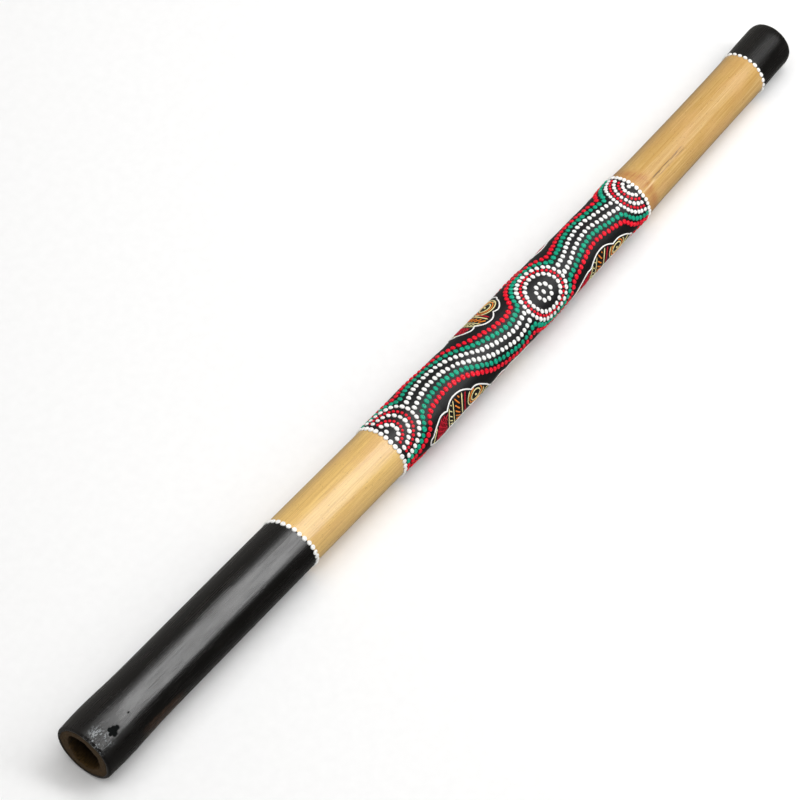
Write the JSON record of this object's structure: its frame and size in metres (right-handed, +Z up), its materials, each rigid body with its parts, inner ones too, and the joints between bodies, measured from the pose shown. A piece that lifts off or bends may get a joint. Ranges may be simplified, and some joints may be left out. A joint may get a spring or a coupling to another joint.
{
  "type": "didgeridoo",
  "caption": "Long bowed bamboo wind instrument with an open bore, black lacquered ends, bare varnished bamboo and a band of raised dot painting.",
  "frame": {"origin": "on the surface the instrument lies on, under the middle of its box", "axes": "+X along the culm from the bell to the mouth end, +Z up, +Y to the left when looking from the bell to the mouth end"},
  "size_m": [1.2025, 0.0773, 0.0709],
  "materials": {
    "bamboo": "clear varnish over golden bamboo, satin",
    "beeswax": "dark brown beeswax, softly polished",
    "black_lacquer": "brushed black lacquer, glossy with long scuffs",
    "ground_lacquer": "charcoal paint, semi-matt",
    "white_paint": "thick white acrylic paint",
    "green_paint": "thick green acrylic paint",
    "red_paint": "thick red acrylic paint"
  },
  "bodies": {
    "root": {"bell_culm_length": "bamboo", "middle_culm_length": "bamboo", "mouth_culm_length": "bamboo", "wax_mouthpiece": "beeswax", "bell_black_coat": "black_lacquer", "mouth_black_coat": "black_lacquer", "band_ground_coat": "ground_lacquer", "bell_dot_ring": "white_paint", "band_lower_dot_ring": "white_paint", "band_upper_dot_ring": "white_paint", "mouth_dot_ring": "white_paint", "front_green_row_left": "green_paint", "front_red_row_left": "red_paint", "front_lower_white_row_left": "white_paint", "front_upper_white_row_left": "white_paint", "front_green_row_right": "green_paint", "front_red_row_right": "red_paint", "front_lower_white_row_right": "white_paint", "front_upper_white_row_right": "white_paint", "front_lower_arc_1": "white_paint", "front_lower_arc_2": "red_paint", "front_lower_arc_3": "white_paint", "front_lower_arc_4": "red_paint", "front_lower_arc_5": "white_paint", "front_upper_arc_1": "white_paint", "front_upper_arc_2": "red_paint", "front_upper_arc_3": "white_paint", "front_upper_arc_4": "red_paint", "front_upper_arc_5": "white_paint", "front_medallion_centre_ring": "white_paint", "front_medallion_inner_white_ring": "white_paint", "front_medallion_red_ring": "red_paint", "front_medallion_outer_white_ring": "white_paint", "front_side_figure_1": "white_paint", "front_side_figure_2": "white_paint", "front_side_figure_3": "white_paint", "back_green_row_left": "green_paint", "back_red_row_left": "red_paint", "back_lower_white_row_left": "white_paint", "back_upper_white_row_left": "white_paint", "back_green_row_right": "green_paint", "back_red_row_right": "red_paint", "back_lower_white_row_right": "white_paint", "back_upper_white_row_right": "white_paint", "back_lower_arc_1": "white_paint", "back_lower_arc_2": "red_paint", "back_lower_arc_3": "white_paint", "back_lower_arc_4": "red_paint", "back_lower_arc_5": "white_paint", "back_upper_arc_1": "white_paint", "back_upper_arc_2": "red_paint", "back_upper_arc_3": "white_paint", "back_upper_arc_4": "red_paint", "back_upper_arc_5": "white_paint", "back_medallion_inner_white_ring": "white_paint", "back_medallion_red_ring": "red_paint", "back_medallion_outer_white_ring": "white_paint", "back_side_figure_1": "white_paint", "back_side_figure_2": "white_paint", "back_side_figure_3": "white_paint"}
  },
  "joints": []
}
